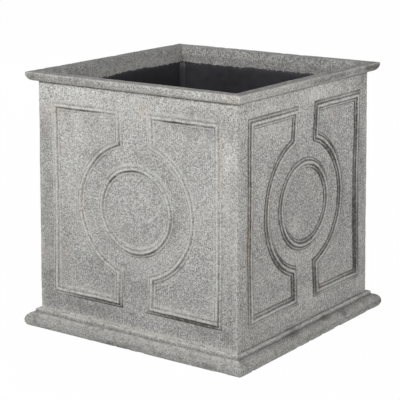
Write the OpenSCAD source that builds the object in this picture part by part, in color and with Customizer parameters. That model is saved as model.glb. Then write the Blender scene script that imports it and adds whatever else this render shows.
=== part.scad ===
// Square planter made of cast stone panels: walls with raised strapwork, mitred rim and plinth mouldings.
// The origin is on the ground under the middle. The front wall faces -Y and +Z is up. Millimetres.

/* [Body] */
// Outside width of the square body
body_w = 446; // [400:1:600]
// Height of the wall panels above the ground
wall_h = 474; // [440:1:600]
// Thickness of a wall panel
wall_t = 6; // [5:0.5:12]

/* [Rim] */
// Height of the rim moulding
rim_h = 17; // [14:0.5:28]
// Overhang of the rim past the wall face
rim_out = 17.5; // [12:0.5:26]
// Height of the square edge at the top of the rim
rim_arris = 3; // [1:0.5:6]

/* [Plinth] */
// Height of the plinth moulding
plinth_h = 33; // [28:0.5:48]
// Overhang of the plinth past the wall face
plinth_out = 27; // [22:0.5:36]
// Radius of the small bead along the top of the plinth
plinth_bead_r = 9; // [4:0.5:11]
// Radius of the large round below that bead
plinth_round_r = 16; // [10:0.5:18]

/* [Strapwork] */
// Width of the stepped band that edges each panel
band_w = 17; // [14:0.5:22]
// Height of the band over the wall face
band_h = 2; // [1:0.25:3]
// Radius of the half-round bead along the middle of the band
bead_r = 4; // [3:0.25:5.5]
// Height of the bead's centre line over the wall face
bead_lift = 0.5; // [0:0.25:1.5]
// Plain margin between the body's corner and the band
side_margin = 33; // [20:0.5:40]
// Plain margin between the band and the top of the wall
top_margin = 33; // [20:0.5:45]
// Plain margin between the band and the plinth
foot_margin = 38; // [20:0.5:45]
// Width of the plain channel between the two half frames
channel_w = 58; // [30:1:70]
// Radius of the ring, at the middle of its band
ring_r = 77; // [60:0.5:80]
// Plain gap between the ring's band and the half frames' curved bands
ring_gap = 32; // [15:0.5:36]

/* [Floor] */
// Thickness of the floor slab
floor_t = 10; // [8:0.5:20]
// Height of the floor slab's underside above the ground
floor_lift = 18; // [14:0.5:40]
// Width of the ledges that carry the floor slab
ledge_w = 12; // [8:0.5:20]
// Height of those ledges
ledge_h = 14; // [6:0.5:14]
// Leg length of the bonding strips in the inner corners
strip_leg = 12; // [6:0.5:20]

/* [Coat] */
// Thickness of the black waterproof coat
coat_t = 1; // [0.6:0.1:2]
// Depth from the top of the rim down to the coat's edge
coat_drop = 34; // [22:1:60]

/* [Drain] */
// Radius of the hole through the floor slab
drain_hole_r = 15; // [12:0.5:20]
// Wall thickness of the drain sleeve
sleeve_wall = 3; // [2:0.25:4]
// Length of the sleeve below the floor slab
sleeve_drop = 4; // [1:0.5:8]
// Radius of the sleeve's flange
flange_r = 22; // [21:0.5:30]
// Thickness of the sleeve's flange
flange_t = 2.5; // [2:0.25:4]
// Thickness of the bung's head
bung_head_t = 4; // [3:0.5:8]
// Distance from the edge of the bung's head to the edge of the flange
bung_head_inset = 4; // [2:0.5:5]
// Height of the finger tab on the bung
tab_h = 8; // [5:0.5:14]
// Length of the finger tab
tab_l = 14; // [8:0.5:18]
// Thickness of the finger tab
tab_t = 3.5; // [2:0.25:6]
// Clearance around the bung and under its head
bung_gap = 0.3; // [0.2:0.05:0.5]

/* [Hidden] */

STONE = [0.66, 0.66, 0.64];
BLACK = [0.05, 0.05, 0.06];
GREY = [0.30, 0.30, 0.31];
CUT = 1;
STEPS = 96;

half = body_w / 2;
inner = half - wall_t;
rim_top = wall_h + rim_h;
ovolo_r = min(rim_h - rim_arris, rim_out);
floor_top = floor_lift + floor_t;
coat_floor_top = floor_top + coat_t;
coat_top = rim_top - coat_drop;
sleeve_top = floor_top + flange_t;
bore_r = drain_hole_r - sleeve_wall;

// Outline of the strapwork's left and right half frames, measured from the middle of the wall's face
frame_x = half - side_margin;
frame_low = plinth_h + foot_margin;
frame_high = wall_h - top_margin;
frame_mid = (frame_low + frame_high) / 2;
frame_y = (frame_high - frame_low) / 2;
ring_in = ring_r - band_w / 2;
ring_out = ring_r + band_w / 2;
arc_in = ring_out + ring_gap;
arc_r = arc_in + band_w / 2;
short_x = channel_w / 2;
corner_in = [short_x, sqrt(arc_in * arc_in - short_x * short_x)];
corner_out = [short_x + band_w, sqrt(pow(arc_in + band_w, 2) - pow(short_x + band_w, 2))];

// Turns what is drawn for the front, on -Y, to the side with this number: 0 front, 1 right, 2 back, 3 left
module on_side(number) {
    rotate([0, 0, 90 * number]) children();
}

// Keeps what lies in the front quarter of the plan, which mitres both ends at 45 degrees
module mitred(low, high) {
    reach = half + plinth_out + rim_out;
    intersection() {
        children();
        translate([0, 0, low - CUT])
            linear_extrude(high - low + 2 * CUT)
                polygon([[0, 0], [-reach, -reach], [reach, -reach]]);
    }
}

// A straight bar along X whose section is given as distance out from the wall face and height
module rail(low, high) {
    length = 2 * (half + plinth_out + rim_out);
    mitred(low, high)
        translate([-length / 2, -half, 0])
            rotate([90, 0, 90])
                linear_extrude(length)
                    mirror([1, 0]) children();
}

// Puts a drawing in X and Y on the outside of the front wall, raised along -Y from the wall face
module on_wall_face() {
    translate([0, -half, frame_mid]) rotate([90, 0, 0]) children();
}

// One half frame's area, drawn in by this distance from its outer edge
module half_frame_area(inset) {
    difference() {
        translate([short_x + inset, -frame_y + inset])
            square([frame_x - short_x - 2 * inset, 2 * (frame_y - inset)]);
        circle(r = arc_in + inset, $fn = STEPS);
    }
}

// The flat band of one half frame, let a little into the wall so that they are one casting
module half_frame_band() {
    translate([0, 0, -CUT])
        linear_extrude(band_h + CUT)
            difference() {
                half_frame_area(0);
                half_frame_area(band_w);
            }
}

// A round bar of this length along X or along Y, laid on the band
module bead_along_x(length) {
    translate([-length / 2, 0, bead_lift]) rotate([0, 90, 0]) cylinder(h = length, r = bead_r, $fn = STEPS);
}

module bead_along_y(length) {
    translate([0, length / 2, bead_lift]) rotate([90, 0, 0]) cylinder(h = length, r = bead_r, $fn = STEPS);
}

// Cuts a bead to the stretch of band inside this outline, so that beads meet in mitres
module bead_stretch(outline) {
    intersection() {
        children();
        translate([0, 0, -wall_t / 2])
            linear_extrude(wall_t / 2 + bead_lift + bead_r + CUT) polygon(outline);
    }
}

// The half-round beads of one half frame
module half_frame_beads() {
    far = [frame_x, frame_y];
    near = [frame_x - band_w, frame_y - band_w];
    mid_x = frame_x - band_w / 2;
    mid_y = frame_y - band_w / 2;
    bead_stretch([[far.x, -far.y], [far.x, far.y], [near.x, near.y], [near.x, -near.y]])
        translate([mid_x, 0]) bead_along_y(2 * far.y);
    for (up = [-1, 1]) {
        bead_stretch([
            [short_x, up * far.y], [far.x, up * far.y], [near.x, up * near.y], [short_x + band_w, up * near.y]
        ])
            translate([frame_x / 2, up * mid_y]) bead_along_x(2 * frame_x);
        bead_stretch([
            [corner_in.x, up * corner_in.y], [short_x, up * far.y],
            [short_x + band_w, up * near.y], [corner_out.x, up * corner_out.y]
        ])
            translate([short_x + band_w / 2, up * frame_y / 2]) bead_along_y(2 * frame_y);
    }
    bead_stretch([
        [corner_in.x, -corner_in.y], [corner_out.x, -corner_out.y], [frame_x, -corner_out.y],
        [frame_x, corner_out.y], [corner_out.x, corner_out.y], [corner_in.x, corner_in.y]
    ])
        ring_bead(arc_r);
}

// A full ring of half-round bead of this radius
module ring_bead(radius) {
    translate([0, 0, bead_lift])
        rotate_extrude($fn = STEPS) translate([radius, 0]) circle(r = bead_r, $fn = STEPS);
}

// The flat band of the ring
module ring_band() {
    translate([0, 0, -CUT])
        difference() {
            cylinder(h = band_h + CUT, r = ring_out, $fn = STEPS);
            translate([0, 0, -CUT]) cylinder(h = band_h + 3 * CUT, r = ring_in, $fn = STEPS);
        }
}

// The half of the ring's bead that stands out of the wall
module ring_bead_outside() {
    intersection() {
        ring_bead(ring_r);
        translate([0, 0, -CUT]) cylinder(h = CUT + bead_lift + bead_r + CUT, r = ring_out, $fn = STEPS);
    }
}

// One wall panel with its raised strapwork, from the ground to the underside of the rim
module wall(number) {
    color(STONE) on_side(number) {
        mitred(0, wall_h)
            translate([-half, -half, 0]) cube([body_w, wall_t, wall_h]);
        on_wall_face() {
            ring_band();
            ring_bead_outside();
            for (turn = [0, 180])
                rotate([0, 0, turn]) {
                    half_frame_band();
                    half_frame_beads();
                }
        }
    }
}

// One rim rail: flat top, square arris and a quarter-round underside
module rim(number) {
    round_u = rim_out - ovolo_r;
    round_z = rim_top - rim_arris;
    color(STONE) on_side(number)
        rail(wall_h, rim_top) {
            translate([-wall_t, wall_h]) square([wall_t + round_u, rim_h]);
            translate([-wall_t, round_z]) square([wall_t + rim_out, rim_arris]);
            intersection() {
                translate([round_u, round_z]) circle(r = ovolo_r, $fn = STEPS);
                translate([round_u, round_z - ovolo_r]) square(ovolo_r);
            }
        }
}

// One plinth rail: a small quarter-round bead over a large round that tucks in at the ground
module plinth(number) {
    round_u = plinth_out - plinth_round_r;
    round_z = plinth_h - plinth_bead_r - plinth_round_r;
    color(STONE) on_side(number)
        rail(0, plinth_h)
            intersection() {
                union() {
                    intersection() {
                        translate([0, plinth_h - plinth_bead_r]) circle(r = plinth_bead_r, $fn = STEPS);
                        translate([0, plinth_h - plinth_bead_r]) square(plinth_bead_r);
                    }
                    square([round_u, plinth_h - plinth_bead_r]);
                    translate([round_u, round_z]) circle(r = plinth_round_r, $fn = STEPS);
                }
                square([plinth_out, plinth_h]);
            }
}

// One ledge bonded to the inside of a wall, under the floor slab
module ledge(number) {
    color(STONE) on_side(number)
        mitred(0, floor_lift)
            translate([-inner, -inner, floor_lift - ledge_h]) cube([2 * inner, ledge_w, ledge_h]);
}

// One bonding strip in the inner corner between this side and the next one round
module strip(number) {
    color(BLACK) on_side(number)
        translate([inner, -inner, floor_top])
            linear_extrude(coat_top - floor_top) polygon([[0, 0], [-strip_leg, 0], [0, strip_leg]]);
}

// The black coat on the inside of one wall, between the bonding strips
module coat(number) {
    color(BLACK) on_side(number)
        translate([-(inner - strip_leg), -inner, coat_floor_top])
            cube([2 * (inner - strip_leg), coat_t, coat_top - coat_floor_top]);
}

// The floor slab, which fills the body and has the drain hole in its middle
module floor_slab() {
    color(STONE)
        difference() {
            translate([-inner, -inner, floor_lift]) cube([2 * inner, 2 * inner, floor_t]);
            translate([0, 0, floor_lift - CUT]) cylinder(h = floor_t + 2 * CUT, r = drain_hole_r, $fn = STEPS);
        }
}

// The black coat on the floor, around the drain sleeve's flange and between the bonding strips
module floor_coat() {
    cut_x = inner - strip_leg;
    color(BLACK)
        difference() {
            translate([0, 0, floor_top])
                linear_extrude(coat_t)
                    polygon([
                        [cut_x, -inner], [inner, -cut_x], [inner, cut_x], [cut_x, inner],
                        [-cut_x, inner], [-inner, cut_x], [-inner, -cut_x], [-cut_x, -inner]
                    ]);
            translate([0, 0, floor_top - CUT]) cylinder(h = coat_t + 2 * CUT, r = flange_r, $fn = STEPS);
        }
}

// The flanged plastic sleeve that lines the drain hole
module drain_sleeve() {
    low = floor_lift - sleeve_drop;
    color(GREY)
        difference() {
            union() {
                translate([0, 0, low]) cylinder(h = sleeve_top - low, r = drain_hole_r, $fn = STEPS);
                translate([0, 0, floor_top]) cylinder(h = flange_t, r = flange_r, $fn = STEPS);
            }
            translate([0, 0, low - CUT]) cylinder(h = sleeve_top - low + 2 * CUT, r = bore_r, $fn = STEPS);
        }
}

// The rubber bung, with a head that sits over the flange and a tab to pull it by
module drain_bung() {
    low = floor_lift - sleeve_drop + bung_gap;
    head_low = sleeve_top + bung_gap;
    head_top = head_low + bung_head_t;
    color(GREY) {
        translate([0, 0, low]) cylinder(h = head_low - low + CUT, r = bore_r - bung_gap, $fn = STEPS);
        translate([0, 0, head_low]) cylinder(h = bung_head_t, r = flange_r - bung_head_inset, $fn = STEPS);
        translate([-tab_l / 2, -tab_t / 2, head_top - CUT]) cube([tab_l, tab_t, tab_h + CUT]);
    }
}

wall(0);  // front_wall
wall(1);  // right_wall
wall(2);  // back_wall
wall(3);  // left_wall
rim(0);  // front_rim
rim(1);  // right_rim
rim(2);  // back_rim
rim(3);  // left_rim
plinth(0);  // front_plinth
plinth(1);  // right_plinth
plinth(2);  // back_plinth
plinth(3);  // left_plinth
ledge(0);  // front_ledge
ledge(1);  // right_ledge
ledge(2);  // back_ledge
ledge(3);  // left_ledge
strip(0);  // front_right_strip
strip(1);  // back_right_strip
strip(2);  // back_left_strip
strip(3);  // front_left_strip
coat(0);  // front_coat
coat(1);  // right_coat
coat(2);  // back_coat
coat(3);  // left_coat
floor_slab();
floor_coat();
drain_sleeve();
drain_bung();
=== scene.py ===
"""Looks of a square planter in speckled stone: strapwork walls, a mitred rim and plinth, and black inside."""

import math

import bpy
import numpy as np
from mathutils import Matrix, Vector


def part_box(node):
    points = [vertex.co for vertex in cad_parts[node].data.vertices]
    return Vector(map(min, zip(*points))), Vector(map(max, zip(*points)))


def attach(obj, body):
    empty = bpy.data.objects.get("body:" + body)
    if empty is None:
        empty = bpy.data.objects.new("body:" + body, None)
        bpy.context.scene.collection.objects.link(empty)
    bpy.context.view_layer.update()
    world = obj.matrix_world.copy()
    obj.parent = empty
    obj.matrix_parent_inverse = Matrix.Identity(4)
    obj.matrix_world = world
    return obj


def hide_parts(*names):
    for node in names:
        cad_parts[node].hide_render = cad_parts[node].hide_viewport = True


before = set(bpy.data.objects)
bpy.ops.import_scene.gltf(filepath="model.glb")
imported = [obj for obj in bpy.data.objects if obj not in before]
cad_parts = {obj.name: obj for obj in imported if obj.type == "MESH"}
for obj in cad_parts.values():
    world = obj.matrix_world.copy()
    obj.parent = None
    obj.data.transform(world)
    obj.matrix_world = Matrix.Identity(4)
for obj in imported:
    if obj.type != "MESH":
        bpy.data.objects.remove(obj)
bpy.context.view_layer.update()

SIDES = ("front", "right", "back", "left")
CORNERS = ("front_right", "back_right", "back_left", "front_left")
MM = 0.001

# Sizes read from the fixed frame
WALL_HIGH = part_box("front_wall")[1]
RIM_LOW, RIM_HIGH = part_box("front_rim")
PLINTH_LOW, PLINTH_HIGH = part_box("front_plinth")
COAT_LOW, COAT_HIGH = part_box("front_coat")
STRIP_LOW, STRIP_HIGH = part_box("front_right_strip")
SLEEVE_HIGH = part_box("drain_sleeve")[1]
BUNG_LOW, BUNG_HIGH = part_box("drain_bung")

# Half the width of the body and of the room inside it, and the levels and overhangs of its mouldings
HALF = WALL_HIGH.x
INNER = -COAT_LOW.y
WALL_TOP = WALL_HIGH.z
RIM_TOP = RIM_HIGH.z
RIM_OUT = -RIM_LOW.y - HALF
PLINTH_TOP = PLINTH_HIGH.z
PLINTH_OUT = -PLINTH_LOW.y - HALF

# The rim's square edge and the quarter round under it
RIM_ARRIS = 3 * MM
RIM_ROUND = RIM_TOP - WALL_TOP - RIM_ARRIS

# The strapwork, drawn from the middle of a wall's face
BAND_HALF = 8.5 * MM
FRAME_X = HALF - 33 * MM
FRAME_LOW = PLINTH_TOP + 38 * MM
FRAME_HIGH = WALL_TOP - 33 * MM
FRAME_MID = (FRAME_LOW + FRAME_HIGH) / 2
FRAME_Y = (FRAME_HIGH - FRAME_LOW) / 2
CHANNEL_X = 29 * MM
RING_R = 77 * MM
ARC_R = RING_R + 2 * BAND_HALF + 32 * MM

# How the casting departs from true: walls drawn in at the middle and spread a little at the foot
WALL_BOW = 7 * MM
WALL_FLARE = 5 * MM

# The spacing of a wall's points, and how many go round each worn arris and across the inner face
WALL_STEP = 3.5 * MM
ARRIS_POINTS = 5
INNER_POINTS = 12

# The unevenness of each surface, as rows of depth and size in millimetres, seed and octaves
WALL_WAVES = ((0.7, 95, 3, 1), (0.28, 22, 5, 2))
RIM_WAVES = ((0.4, 60, 31, 1), (0.25, 14, 33, 2))
RIM_TOP_WAVES = ((0.35, 70, 35, 2),)
PLINTH_WAVES = ((0.6, 80, 41, 1), (0.3, 16, 43, 3))
PLINTH_TOP_WAVES = ((0.7, 42, 45, 2),)
COAT_EDGE_WAVES = ((1.7, 45, 51, 2), (1.5, 7, 53, 3))
COAT_SKIN_WAVES = ((0.25, 30, 55, 2),)

# What scrambles a cell's numbers into a chance value
HASH_AXES = (73856093, 19349663, 83492791)
HASH_SEED = 2654435761
HASH_ROUNDS = ((13, 1274126177), (16, 2246822519))
HASH_MASK = 0xFFFFFFFF

# What brings the sum of a noise's octaves back to about -1 to 1
NOISE_GAIN = 1.4


def lattice(cell, seed):
    """A fixed value from -1 to 1 for each whole-numbered cell."""
    x, y, z = (cell[..., axis] * factor for axis, factor in enumerate(HASH_AXES))
    mixed = x ^ y ^ z ^ (seed * HASH_SEED)
    for shift, factor in HASH_ROUNDS:
        mixed = (mixed ^ (mixed >> shift)) * factor & HASH_MASK
    return (mixed ^ (mixed >> 15)) % 65536 / 32767.5 - 1


def noise(points, size, seed, octaves=1):
    """Smooth noise from about -1 to 1 at these points, whose largest features are this size."""
    total, weight, amount = 0.0, 1.0, 0.0
    for octave in range(octaves):
        scaled = np.asarray(points, float) / (size / 2 ** octave)
        base = np.floor(scaled)
        part = smooth(scaled - base)
        cell = base.astype(np.int64)
        value = 0.0
        for corner in np.ndindex(2, 2, 2):
            share = 1.0
            for axis, far in enumerate(corner):
                share = share * (part[..., axis] if far else 1 - part[..., axis])
            value = value + share * lattice(cell + corner, seed + octave)
        total = total + weight * value
        amount += weight
        weight *= 0.5
    return total / amount * NOISE_GAIN


def waves(points, rows):
    """The unevenness that a table's rows add up to at these points."""
    return sum(depth * MM * noise(points, size * MM, seed, octaves) for depth, size, seed, octaves in rows)


def smooth(value):
    """Smooth step from 0 to 1."""
    t = np.clip(value, 0, 1)
    return t * t * (3 - 2 * t)


def spaced(low, high, step):
    """Evenly spaced values from low to high, about this step apart."""
    return np.linspace(low, high, max(2, int(round((high - low) / step)) + 1))


def turned(side, along, out, height):
    """Places along, out from the axis and up, as for the front, turned to the side with this number."""
    along, out, height = np.broadcast_arrays(along, out, height)
    x, y = along, -out
    for _ in range(side):
        x, y = -y, x
    return np.stack([x, y, height], axis=-1)


def corner_fade(along, reach):
    """0 at a side's two ends and 1 from this reach inward, so that sides meet where they join."""
    return smooth((HALF - np.abs(along)) / reach)


def flare_at(height):
    """How much further out a wall stands at this height than at its top."""
    return WALL_FLARE * np.clip((WALL_TOP - height) / (WALL_TOP - PLINTH_TOP), 0, 1)


def wall_surface(side, along, height):
    """How far the outer wall face stands from the axis at these places."""
    middle = np.clip(2 * (height - PLINTH_TOP) / (WALL_TOP - PLINTH_TOP) - 1, -1, 1)
    bow = WALL_BOW * np.clip(1 - (along / HALF) ** 2, 0, 1) * (1 - middle ** 2)
    uneven = waves(turned(side, along, HALF, height), WALL_WAVES) * corner_fade(along, 25 * MM)
    return HALF + flare_at(height) - bow + uneven


def new_object(name, data):
    """A new object in the scene."""
    made = bpy.data.objects.new(name, data)
    bpy.context.scene.collection.objects.link(made)
    return made


class Shell:
    """Collects points, faces and the paint of each point, and makes them one object."""

    LAYERS = ("wash_and_shade", "wear", "grime_and_shade", "spatter", "rust")

    def __init__(self):
        """Starts empty."""
        self.points, self.faces, self.count = [], [], 0
        self.paint = {layer: [] for layer in self.LAYERS}

    def grid(self, points, close_rows=False, close_columns=False, flip=False, **paint):
        """Adds a grid of points, closed round either way if asked, and gives its points' numbers."""
        rows, columns = points.shape[:2]
        index = self.count + np.arange(rows * columns).reshape(rows, columns)
        down = np.roll(index, -1, 0) if close_rows else index[1:]
        a, d = index[:len(down)], down
        if close_columns:
            b, c = np.roll(a, -1, 1), np.roll(d, -1, 1)
        else:
            a, b, c, d = a[:, :-1], a[:, 1:], d[:, 1:], d[:, :-1]
        self.join([a, d, c, b] if flip else [a, b, c, d])
        self.points.append(points.reshape(-1, 3))
        for layer in self.LAYERS:
            self.paint[layer].append(np.broadcast_to(paint.get(layer, 0.0), (rows, columns)).ravel())
        self.count += rows * columns
        return index

    def join(self, corners):
        """Adds faces, from four arrays with one corner of each."""
        self.faces.extend(np.stack(corners, axis=-1).reshape(-1, 4).tolist())

    def caps(self, index, flip=False):
        """Closes the first and the last row of a grid with one face each."""
        first, last = (index[0], index[-1][::-1]) if flip else (index[0][::-1], index[-1])
        self.faces += [first.tolist(), last.tolist()]

    def build(self, name, material, sharp=40):
        """Makes the object, with edges sharp above this angle in degrees."""
        mesh = bpy.data.meshes.new(name)
        mesh.from_pydata(np.concatenate(self.points).tolist(), [], self.faces)
        for label, values in self.paint.items():
            layer = mesh.attributes.new(label, "FLOAT", "POINT")
            layer.data.foreach_set("value", np.concatenate(values).astype(np.float32))
        mesh.polygons.foreach_set("use_smooth", np.ones(len(mesh.polygons), bool))
        mesh.set_sharp_from_angle(angle=math.radians(sharp))
        mesh.materials.append(material)
        mesh.validate()
        mesh.update()
        return new_object(name, mesh)


def settle(piece, node, body="planter"):
    """Says which body the piece rides, and hides the node that it replaces."""
    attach(piece, body)
    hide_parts(node)


# Materials, whose noise and grains have scales in features per metre

# The sockets of a colour mix: its share, its two colours and its result
MIX_SHARE, MIX_LOW, MIX_HIGH, MIX_RESULT = 0, 6, 7, 2


def put(tree, socket, value):
    """Links a socket to another one, or gives it a number or a colour."""
    if isinstance(value, bpy.types.NodeSocket):
        tree.links.new(value, socket)
    else:
        socket.default_value = (*value, 1) if isinstance(value, tuple) else value


def reckon(tree, operation, a, b):
    """One step of arithmetic in a node tree, on sockets or plain numbers."""
    made = tree.nodes.new("ShaderNodeMath")
    made.operation = operation
    for socket, value in zip(made.inputs, (a, b)):
        put(tree, socket, value)
    return made.outputs[0]


class Nodes:
    """Short calls for building a node material."""

    def __init__(self, name):
        """Starts a material with this name."""
        self.material = bpy.data.materials.new(name)
        self.material.use_nodes = True
        self.tree = self.material.node_tree
        self.shader = self.tree.nodes["Principled BSDF"]
        self.place = self.add("ShaderNodeTexCoord").outputs["Object"]

    def add(self, kind, **inputs):
        """Adds a node and fills its inputs."""
        made = self.tree.nodes.new(kind)
        for name, value in inputs.items():
            put(self.tree, made.inputs[name], value)
        return made

    def noise(self, scale, detail, rough):
        """Smooth noise from 0 to 1 over the piece."""
        made = self.add("ShaderNodeTexNoise", Vector=self.place, Scale=scale, Detail=detail, Roughness=rough)
        return made.outputs["Fac"]

    def cells(self, scale, randomness=1.0):
        """Irregular cells over the piece, each with a chance colour."""
        return self.add("ShaderNodeTexVoronoi", Vector=self.place, Scale=scale, Randomness=randomness)

    def channel(self, cells, name):
        """One channel of the cells' chance colours."""
        return self.add("ShaderNodeSeparateColor", Color=cells.outputs["Color"]).outputs[name]

    def grains(self, scale):
        """A chance value from 0 to 1 for each grain."""
        return self.channel(self.cells(scale), "Red")

    def dots(self, scale, near, far):
        """Round dots of chance strength, full up to the near distance and gone beyond the far one."""
        cells = self.cells(scale, randomness=0.7)
        spot = self.ramp(cells.outputs["Distance"], [(near, 1.0), (far, 0.0)])
        return self.times(spot, self.ramp(self.channel(cells, "Green"), [(0.0, 0.35), (1.0, 1.0)]))

    def ramp(self, value, stops):
        """Runs a value through a ramp of greys or colours."""
        made = self.add("ShaderNodeValToRGB", Fac=value)
        elements = made.color_ramp.elements
        while len(elements) < len(stops):
            elements.new(0.5)
        for element, (at, colour) in zip(elements, stops):
            element.position = at
            element.color = (*colour, 1) if isinstance(colour, tuple) else (colour, colour, colour, 1)
        return made.outputs["Color"]

    def mix(self, share, low, high, blend="MIX"):
        """Mixes two colours."""
        made = self.tree.nodes.new("ShaderNodeMix")
        made.data_type, made.blend_type = "RGBA", blend
        for socket, value in ((MIX_SHARE, share), (MIX_LOW, low), (MIX_HIGH, high)):
            put(self.tree, made.inputs[socket], value)
        return made.outputs[MIX_RESULT]

    def tinted(self, colour, by, share=1.0):
        """Multiplies a colour by another one."""
        return self.mix(share, colour, by, "MULTIPLY")

    def times(self, a, b):
        """The product of two values."""
        return reckon(self.tree, "MULTIPLY", a, b)

    def attribute(self, name):
        """The paint that a piece's points carry on this layer."""
        made = self.add("ShaderNodeAttribute")
        made.attribute_name = name
        return made.outputs["Fac"]

    def over(self, colour, layer, clouds, stops, top):
        """Lays another colour over this one where a paint layer is, broken up by noise."""
        broken = self.ramp(self.noise(*clouds), stops)
        return self.mix(self.times(self.attribute(layer), broken), colour, top)

    def bump(self, height, strength, distance, onto=None):
        """Raises the surface by a value, on top of an earlier bump if there is one."""
        made = self.add("ShaderNodeBump", Height=height, Strength=strength, Distance=distance)
        if onto is not None:
            put(self.tree, made.inputs["Normal"], onto)
        return made.outputs["Normal"]

    def finish(self, colour, roughness, normal, specular=0.5):
        """Sets the shader, and gives the material."""
        names = ("Base Color", "Roughness", "Normal", "Specular IOR Level")
        for name, value in zip(names, (colour, roughness, normal, specular)):
            put(self.tree, self.shader.inputs[name], value)
        return self.material


# The greys of the stone's grains, from the darkest to the palest
GRAIN_GREYS = [(0.0, 0.205), (0.25, 0.345), (0.5, 0.476), (1.0, 0.745)]

# What the stone's colour is multiplied by at each height above the ground, in metres
# Painted light and shade: lighter up top and darker low down, with some dirt at the foot
STONE_LIGHT_BY_HEIGHT = [
    (0.0, (0.86, 0.857, 0.830)), (0.05, (0.75, 0.747, 0.725)), (0.13, (0.81, 0.807, 0.782)),
    (0.25, (0.88, 0.877, 0.850)), (0.41, (1.00, 0.997, 0.967)), (0.487, (1.09, 1.087, 1.050)),
]

# Colours of what lies in and on the stone
DARK_GRAIN = (0.17, 0.165, 0.16)
SPATTER_COLOUR = (0.07, 0.068, 0.064)
STAIN_COLOUR = (0.46, 0.39, 0.34)
RUST_TINT = (0.98, 0.88, 0.80)
# Grime and wash also lay painted shade, and wear lays painted highlights
GRIME_AND_SHADE_COLOUR = (0.10, 0.098, 0.092)
WASH_AND_SHADE_COLOUR = (0.050, 0.047, 0.042)
WORN_AND_HIGHLIGHT_COLOUR = (0.64, 0.63, 0.59)


def make_stone():
    """Speckled grey stone: grains, clouding and stains, dark wash in the grooves and wear on the edges, with
    painted light and shade.
    """
    n = Nodes("cast_stone")
    colour = n.ramp(n.grains(820), GRAIN_GREYS)
    colour = n.mix(n.dots(235, 0.10, 0.55), colour, DARK_GRAIN)
    colour = n.over(colour, "spatter", (330, 2, 0.5), [(0.50, 0.0), (0.56, 1.0)], SPATTER_COLOUR)
    colour = n.tinted(colour, n.ramp(n.noise(11, 3, 0.55), [(0.3, 0.90), (0.5, 1.0), (0.7, 1.06)]))
    height = n.add("ShaderNodeSeparateXYZ", Vector=n.place).outputs["Z"]
    # Painted light and shade by height
    colour = n.tinted(colour, n.ramp(height, STONE_LIGHT_BY_HEIGHT))
    patches = n.ramp(n.noise(38, 4, 0.65), [(0.30, 0.78), (0.44, 0.98), (0.6, 1.0), (0.75, 1.04)])
    colour = n.tinted(colour, patches, 0.7)
    stain = n.ramp(n.noise(9, 2, 0.6), [(0.60, 0.0), (0.76, 1.0)])
    colour = n.mix(n.times(stain, 0.3), colour, STAIN_COLOUR)
    colour = n.mix(n.attribute("rust"), colour, n.tinted(colour, RUST_TINT))
    # Dirt and painted shade, then wash and painted shade, then wear and painted highlights
    colour = n.over(colour, "grime_and_shade", (60, 4, 0.7), [(0.32, 0.35), (0.62, 1.0)], GRIME_AND_SHADE_COLOUR)
    colour = n.over(colour, "wash_and_shade", (150, 4, 0.75), [(0.34, 0.55), (0.54, 1.0)], WASH_AND_SHADE_COLOUR)
    colour = n.over(colour, "wear", (110, 3, 0.7), [(0.36, 0.1), (0.56, 1.0)], WORN_AND_HIGHLIGHT_COLOUR)
    rough_skin = n.bump(n.noise(190, 3, 0.6), 0.35, 0.8 * MM)
    normal = n.bump(n.grains(560), 0.5, 0.35 * MM, rough_skin)
    return n.finish(colour, 0.88, normal, 0.25)


def make_raw_stone():
    """The unfinished inside of the casting, which shows under the planter."""
    n = Nodes("raw_stone")
    colour = n.mix(0.4, n.ramp(n.grains(520), [(0.0, 0.2), (1.0, 0.5)]), (0.3468, 0.34, 0.32232))
    colour = n.tinted(colour, n.ramp(n.noise(22, 4, 0.6), [(0.3, 0.75), (0.7, 1.15)]))
    normal = n.bump(n.noise(120, 4, 0.65), 0.5, 1.0 * MM)
    return n.finish(colour, 0.92, normal, 0.2)


def make_black_coat():
    """Brushed-on black coat with a low sheen, so thin near its upper edge that stone shows in specks."""
    n = Nodes("black_coat")
    streaks = n.noise(60, 5, 0.6)
    colour = n.mix(streaks, (0.015, 0.0145, 0.0175), (0.029, 0.028, 0.034))
    # Painted sheen: a bluish lightening where the wear value is middling, as in the corners and on the strips
    painted_sheen = n.ramp(n.attribute("wear"), [(0.0, 0.0), (0.3, 0.20), (0.6, 0.0)])
    colour = n.mix(painted_sheen, colour, (0.10, 0.10, 0.118))
    speck = n.ramp(n.noise(300, 2, 0.6), [(0.60, 0.0), (0.63, 1.0)])
    thin = n.ramp(n.attribute("wear"), [(0.35, 0.0), (0.7, 1.0)])
    colour = n.mix(n.times(speck, thin), colour, (0.36, 0.36, 0.35))
    rough = n.ramp(streaks, [(0.3, 0.34), (0.7, 0.5)])
    return n.finish(colour, rough, n.bump(n.noise(150, 4, 0.6), 0.25, 0.6 * MM))


def make_plastic():
    """Dark moulded plastic of the drain sleeve."""
    n = Nodes("sleeve_plastic")
    colour = n.mix(n.noise(300, 2, 0.5), (0.035, 0.035, 0.037), (0.05, 0.05, 0.052))
    return n.finish(colour, 0.5, n.bump(n.noise(900, 2, 0.5), 0.1, 0.1 * MM))


def make_rubber():
    """Black rubber of the bung, with a dusty bloom."""
    n = Nodes("bung_rubber")
    bloom = n.ramp(n.noise(160, 4, 0.6), [(0.4, 0.0), (0.8, 1.0)])
    colour = n.mix(bloom, (0.022, 0.022, 0.022), (0.07, 0.068, 0.065))
    return n.finish(colour, 0.72, n.bump(n.noise(1200, 2, 0.6), 0.15, 0.1 * MM))


STONE = make_stone()
RAW = make_raw_stone()
BLACK = make_black_coat()
PLASTIC = make_plastic()
RUBBER = make_rubber()

# Paint: a table's four entries without names are for the front, right, back and left side

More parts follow.
